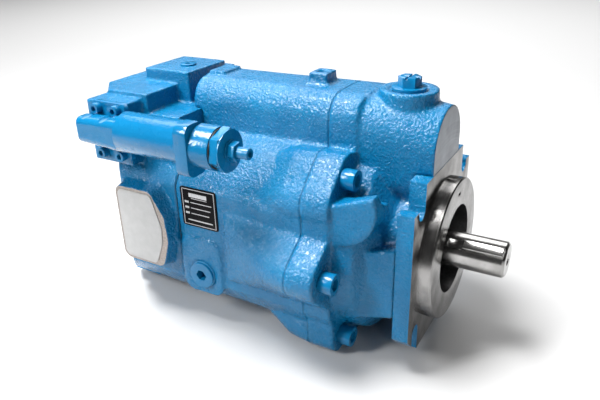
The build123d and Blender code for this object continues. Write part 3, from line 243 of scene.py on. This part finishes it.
finishes = {
    "blue_casting": blue_enamel("blue_casting", 0.25, 0.42),
    "blue_machined": blue_enamel("blue_machined", 0.15, 0.08),
    "blue_fastener": blue_enamel("blue_fastener", 0.12, 0.06),
    "machined_face": turned_metal("machined_face", (0.27, 0.265, 0.26), 0.22, 2500, 0.35),
    "milled_face": turned_metal("milled_face", (0.32, 0.34, 0.37), 0.45, 1500, 0.12),
    "machined_steel": turned_metal("machined_steel", (0.42, 0.415, 0.405), 0.2, 4000, 0.2),
    "cast_iron": plain_detail("cast_iron", (0.30, 0.30, 0.31), 0.5, 1.0),
    "bronze": turned_metal("bronze", (0.62, 0.42, 0.20), 0.3, 3000, 0.15),
    "spring_steel": plain_detail("spring_steel", (0.35, 0.35, 0.36), 0.35, 1.0, 900, 0.1),
    "black_oxide_steel": plain_detail("black_oxide_steel", (0.03, 0.03, 0.033), 0.4, 0.7, 500, 0.1),
    "black_rubber": plain_detail("black_rubber", (0.012, 0.012, 0.012), 0.55, 0.0, 800, 0.15, 0.3),
    # near-black painted shade for the deep recess round the shaft
    "recess_painted_shade": plain_detail("recess_painted_shade", (0.02, 0.02, 0.021), 0.35, 0.4, 400, 0.1, 0.4),
    "raw_iron": plain_detail("raw_iron", (0.30, 0.27, 0.25), 0.42, 0.8, 500, 0.25, 0.25),
    "gasket_fibre": plain_detail("gasket_fibre", (0.02, 0.10, 0.18), 0.7, 0.0, 900, 0.3),
    "soft_metal_seal": plain_detail("soft_metal_seal", (0.05, 0.26, 0.48), 0.35, 0.0, 600, 0.1),
    "black_plate": plain_detail("black_plate", (0.004, 0.004, 0.0045), 0.4, 0.0, 700, 0.05, 0.2, 0.05),
    "plate_print": plain_detail("plate_print", (0.45, 0.45, 0.46), 0.4, 0.2, 700, 0.05),
    "pale_film": plain_detail("pale_film", (0.38, 0.382, 0.382), 0.42, 0.0, 120, 0.12, 0.06),
}


# ------------------------------------------------------------------ mesh tools
def copy_mesh(name, source):
    """A welded copy of a CAD node's mesh, as a new object."""
    piece = bpy.data.objects.new(name, nodes[source].data.copy())
    piece.data.materials.clear()
    bpy.context.scene.collection.objects.link(piece)
    edit = bmesh.new()
    edit.from_mesh(piece.data)
    bmesh.ops.remove_doubles(edit, verts=edit.verts, dist=1e-6)
    bmesh.ops.recalc_face_normals(edit, faces=edit.faces)
    edit.to_mesh(piece.data)
    edit.free()
    return piece


def bake_modifiers(piece):
    """Replaces a piece's mesh with what its modifiers make."""
    graph = bpy.context.evaluated_depsgraph_get()
    graph.update()
    made = bpy.data.meshes.new_from_object(piece.evaluated_get(graph))
    piece.modifiers.clear()
    piece.data = made


def box_cutter(low, high):
    """A box object for boolean cuts."""
    mesh = bpy.data.meshes.new("cutter")
    edit = bmesh.new()
    bmesh.ops.create_cube(edit, size=1)
    for vertex in edit.verts:
        vertex.co = [low[i] if vertex.co[i] < 0 else high[i] for i in range(3)]
    edit.to_mesh(mesh)
    edit.free()
    cutter = bpy.data.objects.new("cutter", mesh)
    bpy.context.scene.collection.objects.link(cutter)
    return cutter


def cut(piece, low, high, operation):
    """Keeps (INTERSECT) or removes (DIFFERENCE) what lies in a box."""
    cutter = box_cutter(low, high)
    modifier = piece.modifiers.new("cut", "BOOLEAN")
    modifier.operation = operation
    modifier.solver = "EXACT"
    modifier.object = cutter
    bake_modifiers(piece)
    bpy.data.objects.remove(cutter)


def positions(mesh):
    """Vertex positions as an array."""
    found = np.empty(len(mesh.vertices) * 3, np.float32)
    mesh.vertices.foreach_get("co", found)
    return found.reshape(-1, 3).astype(float)


def place_vertices(mesh, points):
    """Writes vertex positions back."""
    mesh.vertices.foreach_set("co", points.astype(np.float32).ravel())
    mesh.update()


RELAX_STEP = 0.7            # share of the way to the neighbours' middle, each round


def relax(mesh, weights, rounds):
    """Rounds off edges: each vertex moves towards the middle of its neighbours."""
    edges = np.empty(len(mesh.edges) * 2, np.int64)
    mesh.edges.foreach_get("vertices", edges)
    first, second = edges.reshape(-1, 2).T
    count = len(mesh.vertices)
    share = np.bincount(first, minlength=count) + np.bincount(second, minlength=count)
    share = np.maximum(share, 1)
    points = positions(mesh)
    for _ in range(rounds):
        total = np.empty_like(points)
        for axis in range(3):
            total[:, axis] = np.bincount(first, points[second, axis], count)
            total[:, axis] += np.bincount(second, points[first, axis], count)
        points += weights[:, None] * (total / share[:, None] - points) * RELAX_STEP
    place_vertices(mesh, points)


def keep_away(points, axis, level, reach):
    """0 on a machined plane, rising to 1 at a distance from it."""
    return np.clip((np.abs(points[:, axis] - level) - 0.4 * reach) / (0.6 * reach), 0, 1)


def lumpy(piece, weights, size, height):
    """Moves the surface in and out like a sand casting."""
    group = piece.vertex_groups.new(name="cast")
    steps = np.round(weights * 10).astype(int)
    for step in range(1, 11):
        group.add(np.flatnonzero(steps == step).tolist(), step / 10, "REPLACE")
    texture = bpy.data.textures.new(piece.name, "CLOUDS")
    texture.noise_scale = size
    texture.noise_depth = 1
    modifier = piece.modifiers.new("cast", "DISPLACE")
    modifier.texture = texture
    modifier.texture_coords = "LOCAL"
    modifier.mid_level = 0.5
    modifier.strength = height
    modifier.vertex_group = "cast"
    bake_modifiers(piece)
    piece.vertex_groups.clear()


VOXEL = 1.25 * MM
LUMP_SIZE = 3 * MM
SHARP_REACH = 3.2 * MM      # machined edges stay sharp this close to their plane
SNAP_BELOW = 0.75           # voxels inside a machined plane that are drawn onto it
SNAP_ABOVE = 2              # voxels outside it


def casting(name, node, planes, rounds, lump_height, cut_away=None):
    """A sand casting made from a CAD node: remeshed, rounded, lumpy, and flat on its machined planes.

    Each plane is an axis, its level and the side that faces out."""
    piece = copy_mesh(name, node)
    if cut_away:
        cut(piece, *cut_away, "DIFFERENCE")
    remesh = piece.modifiers.new("skin", "REMESH")
    remesh.mode = "VOXEL"
    remesh.voxel_size = VOXEL
    bake_modifiers(piece)
    points = positions(piece.data)
    weights = np.ones(len(points))
    for axis, level, _ in planes:
        weights = np.minimum(weights, keep_away(points, axis, level, SHARP_REACH))
    relax(piece.data, weights, rounds)
    lumpy(piece, weights, LUMP_SIZE, lump_height)
    points = positions(piece.data)
    for axis, level, side in planes:
        past = side * (points[:, axis] - level)
        near = (past > -SNAP_BELOW * VOXEL) & (past < SNAP_ABOVE * VOXEL)
        points[near, axis] = level
    place_vertices(piece.data, points)
    piece.data.shade_smooth()
    return piece


def set_materials(piece, names, choose=None):
    """Gives a piece its finishes; choose(centres, normals) returns a finish index for each face."""
    piece.data.materials.clear()
    for name in names:
        piece.data.materials.append(finishes[name])
    if choose is None:
        return
    count = len(piece.data.polygons)
    centres = np.empty(count * 3, np.float32)
    normals = np.empty(count * 3, np.float32)
    piece.data.polygons.foreach_get("center", centres)
    piece.data.polygons.foreach_get("normal", normals)
    picked = choose(centres.reshape(-1, 3), normals.reshape(-1, 3))
    piece.data.polygons.foreach_set("material_index", picked.astype(np.int32))


SHARP_ANGLE = 32            # degrees between two faces that share a sharp edge


def bevel(piece, width):
    """Breaks a piece's sharp edges."""
    modifier = piece.modifiers.new("edge", "BEVEL")
    modifier.width = width
    modifier.segments = 3
    modifier.limit_method = "ANGLE"
    modifier.angle_limit = math.radians(SHARP_ANGLE)
    modifier.harden_normals = True
    modifier.use_clamp_overlap = True


# ------------------------------------------------------------------ castings
FACE_MARGIN = 0.2 * MM
WIDE = 0.2                  # past both sides of the object
PAST_PILOT = 50 * MM        # past the pilot's end


def hand_over(piece, node=None):
    """Puts a piece on the housing and the CAD node that it stands for."""
    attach(piece, "housing")
    if node:
        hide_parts(node)


def make_front():
    """The front housing as a casting, with its machined drive end as a crisp piece of its own."""

    def front_finish(centre, normal):
        """Bare metal on the lobe's milled face, blue elsewhere."""
        return (centre[:, 0] > LOBE_FACE - FACE_MARGIN) & (normal[:, 0] > 0.8)

    def drive_end_finish(centre, normal):
        """Bare metal on the faced and turned surfaces, near-black painted shade in the recess, blue
        elsewhere.
        """
        radius = np.hypot(centre[:, 1], centre[:, 2])
        faced = (normal[:, 0] > 0.5) & (centre[:, 0] > -1.5 * MM)
        pilot = (centre[:, 0] > 0) & (radius > RECESS_R + 1 * MM)
        # the recess round the shaft gets the near-black painted shade finish
        inside = (radius < RECESS_R + 1 * MM) & ~faced
        inside |= radius < RECESS_R - 1 * MM
        return np.where(inside, 2, np.where(faced | pilot, 1, 0))

    flange_low = (FLANGE_BACK, -WIDE, -WIDE)
    flange_high = (PAST_PILOT, WIDE, FLANGE_TOP + 0.01 * MM)
    front = casting(
        "front_casting",
        "front_housing",
        [(0, SEAM_FRONT, -1), (0, LOBE_FACE, 1)],
        rounds=7,
        lump_height=0.3 * MM,
        cut_away=(flange_low, flange_high),
    )
    set_materials(front, ["blue_casting", "milled_face"], front_finish)
    drive_end = copy_mesh("drive_end", "front_housing")
    cut(drive_end, flange_low, flange_high, "INTERSECT")
    set_materials(drive_end, ["blue_casting", "machined_face", "recess_painted_shade"], drive_end_finish)
    drive_end.data.shade_smooth()
    bevel(drive_end, 0.9 * MM)
    hand_over(drive_end)
    hand_over(front, "front_housing")


def make_centre():
    """The centre housing as a casting, flat on its two seams."""
    low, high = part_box("centre_housing")
    centre = casting(
        "centre_casting",
        "centre_housing",
        [(0, high.x, 1), (0, low.x, -1)],
        rounds=4,
        lump_height=0.3 * MM,
    )
    set_materials(centre, ["blue_casting"])
    hand_over(centre, "centre_housing")


def make_rear():
    """The valve block as a casting, with bare port faces."""

    def rear_finish(centre, normal):
        """Bare iron on the two port faces, blue elsewhere."""
        return (np.abs(centre[:, 1]) > PORT_FACE - FACE_MARGIN) & (np.abs(normal[:, 1]) > 0.8)

    rear = casting(
        "rear_casting",
        "valve_block",
        [(0, SEAM_REAR, 1), (1, PORT_FACE, 1), (1, -PORT_FACE, -1)],
        rounds=2,
        lump_height=0.25 * MM,
    )
    set_materials(rear, ["blue_casting", "raw_iron"], rear_finish)
    hand_over(rear, "valve_block")


# ------------------------------------------------------------------ carried CAD nodes
SMALL_BEVEL = 0.1
BEVELS = {                  # broken edges in mm
    "compensator_body": 1.2,
    "compensator_plug": 0.5,
    "compensator_screws": 0.4,
    "housing_bolts": 0.5,
    "drain_plug": 0.6,
    "side_plug": 0.5,
    "gauge_plug": 0.4,
    "lock_nut": 0.4,
    "drive_shaft": 0.25,
    "shaft_key": 0.3,
    "nameplate": 0.2,
}


def finish_nodes():
    """Materials and broken edges on the CAD nodes that stay."""
    slots = {row["node"]: row["material_slot"] for row in frame["record"]["subparts"]}
    for name, node in nodes.items():
        node.data.materials.clear()
        node.data.materials.append(finishes[slots[name]])
        node.data.shade_smooth()
        weld = node.modifiers.new("weld", "WELD")
        weld.merge_threshold = 1e-6
        bevel(node, BEVELS.get(name, SMALL_BEVEL) * MM)


def make_spring():
    """The compensator's spring as a piece of its own on the housing, in spring steel."""
    piece = copy_mesh("compensator_coils", "compensator_spring")
    set_materials(piece, ["spring_steel"])
    piece.data.shade_smooth()
    hand_over(piece, "compensator_spring")
    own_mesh(piece)


# ------------------------------------------------------------------ nameplate print
PRINT_HEIGHT = 0.05 * MM
PRINT_DEPTH = 0.1 * MM


def make_plate_print():
    """Plain border and blank rules on the nameplate, with no lettering."""
    low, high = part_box("nameplate")
    width, height = high.x - low.x, high.z - low.z
    # left, right, bottom and top of each bar, as shares of the plate
    bars = [
        (0.05, 0.95, 0.945, 0.96),
        (0.05, 0.95, 0.04, 0.055),
        (0.05, 0.065, 0.055, 0.945),
        (0.935, 0.95, 0.055, 0.945),
        (0.24, 0.74, 0.76, 0.86),
        (0.30, 0.74, 0.72, 0.735),
    ]
    for level in (0.60, 0.46, 0.32):
        bars.append((0.11, 0.22, level, level + 0.05))
        bars.append((0.27, 0.86 - 0.3 * (0.60 - level), level + 0.01, level + 0.03))
    bars.append((0.16, 0.86, 0.15, 0.18))
    edit = bmesh.new()
    for left, right, bottom, top in bars:
        made = bmesh.ops.create_cube(edit, size=1)
        for vertex in made["verts"]:
            vertex.co = (
                low.x + width * (right if vertex.co.x > 0 else left),
                low.y + (PRINT_DEPTH if vertex.co.y > 0 else -PRINT_HEIGHT),
                low.z + height * (top if vertex.co.z > 0 else bottom),
            )
    mesh = bpy.data.meshes.new("plate_print")
    edit.to_mesh(mesh)
    edit.free()
    mesh.materials.append(finishes["plate_print"])
    piece = bpy.data.objects.new("plate_print", mesh)
    bpy.context.scene.collection.objects.link(piece)
    hand_over(piece)


# ------------------------------------------------------------------ studio
FLOOR_HALF = 6
FLOOR_COLOUR = (0.56, 0.56, 0.56)
FLOOR_ROUGHNESS = 0.6
SURROUND_STRENGTH = 0.1
CARD_DIRECTION = (0.86, -0.35, 0.35)
CARD_COLOUR = (0.05, 0.05, 0.055)
OBJECT_MIDDLE = Vector((-0.13, 0, 0.02))
LIGHTS = (                  # name, place, size, power in watts, target
    ("top", (-0.5, -0.25, 1.25), (0.55, 0.5), 38, OBJECT_MIDDLE),
    ("left", (-0.75, -0.95, 0.72), (0.24, 0.44), 13, OBJECT_MIDDLE),
    ("right", (1.1, -0.9, 0.7), (0.25, 1.0), 5, OBJECT_MIDDLE),
    ("back", (-1.1, 1.9, 1.6), (3.2, 2.6), 90, Vector((-1.2, 2.2, 0))),
)


def make_floor():
    """A pale plain floor at the pump's lowest point."""
    mesh = bpy.data.meshes.new("floor")
    edit = bmesh.new()
    bmesh.ops.create_grid(edit, x_segments=2, y_segments=2, size=FLOOR_HALF)
    edit.to_mesh(mesh)
    edit.free()
    floor = bpy.data.objects.new("floor", mesh)
    floor.location.z = BELLY_Z
    bpy.context.scene.collection.objects.link(floor)
    material, _, _ = new_material("floor", FLOOR_COLOUR, FLOOR_ROUGHNESS)
    floor.data.materials.append(material)


def make_surroundings():
    """White surroundings with a dark card beyond the drive end, for the metal to mirror."""
    world = bpy.data.worlds.new("studio")
    bpy.context.scene.world = world
    world.use_nodes = True
    tree = world.node_tree
    background = tree.nodes["Background"]
    background.inputs["Strength"].default_value = SURROUND_STRENGTH
    direction = tree.nodes.new("ShaderNodeTexCoord").outputs["Generated"]
    towards = tree.nodes.new("ShaderNodeVectorMath")
    towards.operation = "DOT_PRODUCT"
    towards.inputs[1].default_value = CARD_DIRECTION
    tree.links.new(direction, towards.inputs[0])
    card = remap(tree, towards.outputs["Value"], 0.25, 0.75, 0, 1)
    tree.links.new(mix_colours(tree, card, (1, 1, 1), CARD_COLOUR), background.inputs["Color"])


def make_lights():
    """Soft area lights over, beside and behind the pump."""
    for name, place, size, power, target in LIGHTS:
        data = bpy.data.lights.new(name, "AREA")
        data.shape = "RECTANGLE"
        data.size, data.size_y = size
        data.energy = power
        lamp = bpy.data.objects.new(name, data)
        lamp.location = place
        lamp.rotation_mode = "QUATERNION"
        lamp.rotation_quaternion = (target - Vector(place)).to_track_quat("-Z", "Y")
        bpy.context.scene.collection.objects.link(lamp)


make_camera()
finish_nodes()
make_front()
make_centre()
make_rear()
make_spring()
make_plate_print()
make_floor()
make_surroundings()
make_lights()
bpy.context.scene.view_settings.view_transform = "Standard"
